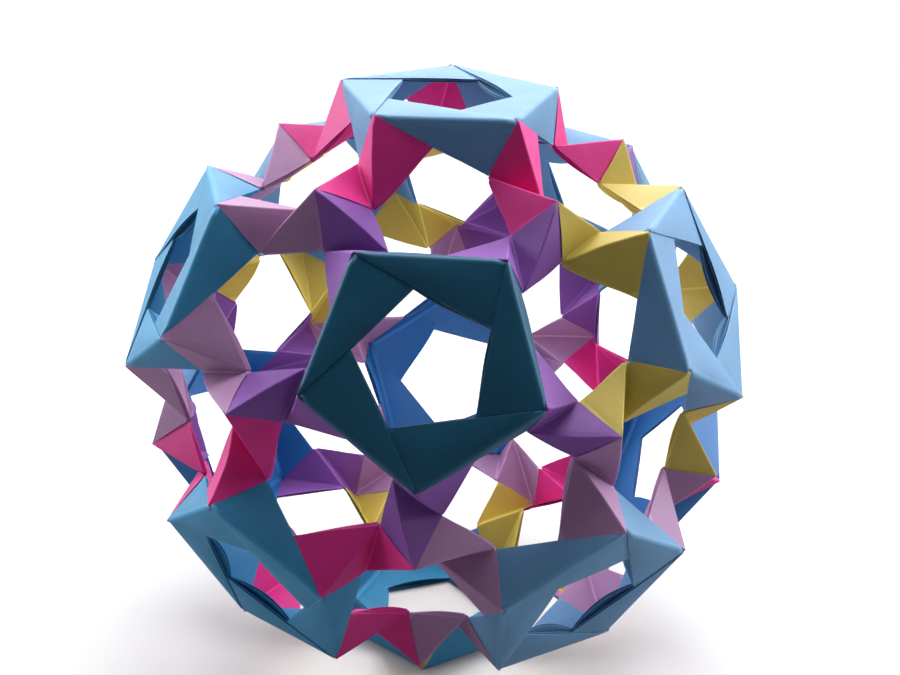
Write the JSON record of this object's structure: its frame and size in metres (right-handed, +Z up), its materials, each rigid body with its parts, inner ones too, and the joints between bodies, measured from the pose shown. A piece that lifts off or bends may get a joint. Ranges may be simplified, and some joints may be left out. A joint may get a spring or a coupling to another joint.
{
  "type": "kusudama paper ball",
  "caption": "Hollow folded paper ball: open five-sided rings of creased strips, joined by zigzag arms that meet in three-armed peaks.",
  "frame": {"origin": "point on the floor under the ball's middle, in the plane of the bottom ring's flat outer face", "axes": "+Z up, from the bottom ring to the top ring; +Y towards the back, +X to the right, seen from the side that the picture shows"},
  "size_m": [0.1896, 0.1982, 0.1862],
  "materials": {
    "mauve_paper": "matt",
    "pink_paper": "matt",
    "purple_paper": "matt",
    "royal_paper": "matt",
    "sky_paper": "matt",
    "teal_paper": "matt",
    "turquoise_paper": "matt",
    "yellow_paper": "matt"
  },
  "bodies": {
    "root": {"ring_top": "sky_paper", "ring_upper_front": "teal_paper", "ring_upper_right": "sky_paper", "ring_upper_back_right": "sky_paper", "ring_upper_back_left": "sky_paper", "ring_upper_left": "turquoise_paper", "ring_lower_front_right": "sky_paper", "ring_lower_front_left": "turquoise_paper", "ring_lower_right": "royal_paper", "ring_lower_back": "royal_paper", "ring_lower_left": "royal_paper", "ring_bottom": "turquoise_paper", "arms_top": "pink_paper", "arms_upper_front": "purple_paper", "arms_upper_right": "yellow_paper", "arms_upper_back_right": "purple_paper", "arms_upper_back_left": "yellow_paper", "arms_upper_left": "mauve_paper", "arms_lower_front_right": "mauve_paper", "arms_lower_front_left": "pink_paper", "arms_lower_right": "pink_paper", "arms_lower_back": "mauve_paper", "arms_lower_left": "purple_paper", "arms_bottom": "yellow_paper"}
  },
  "joints": []
}
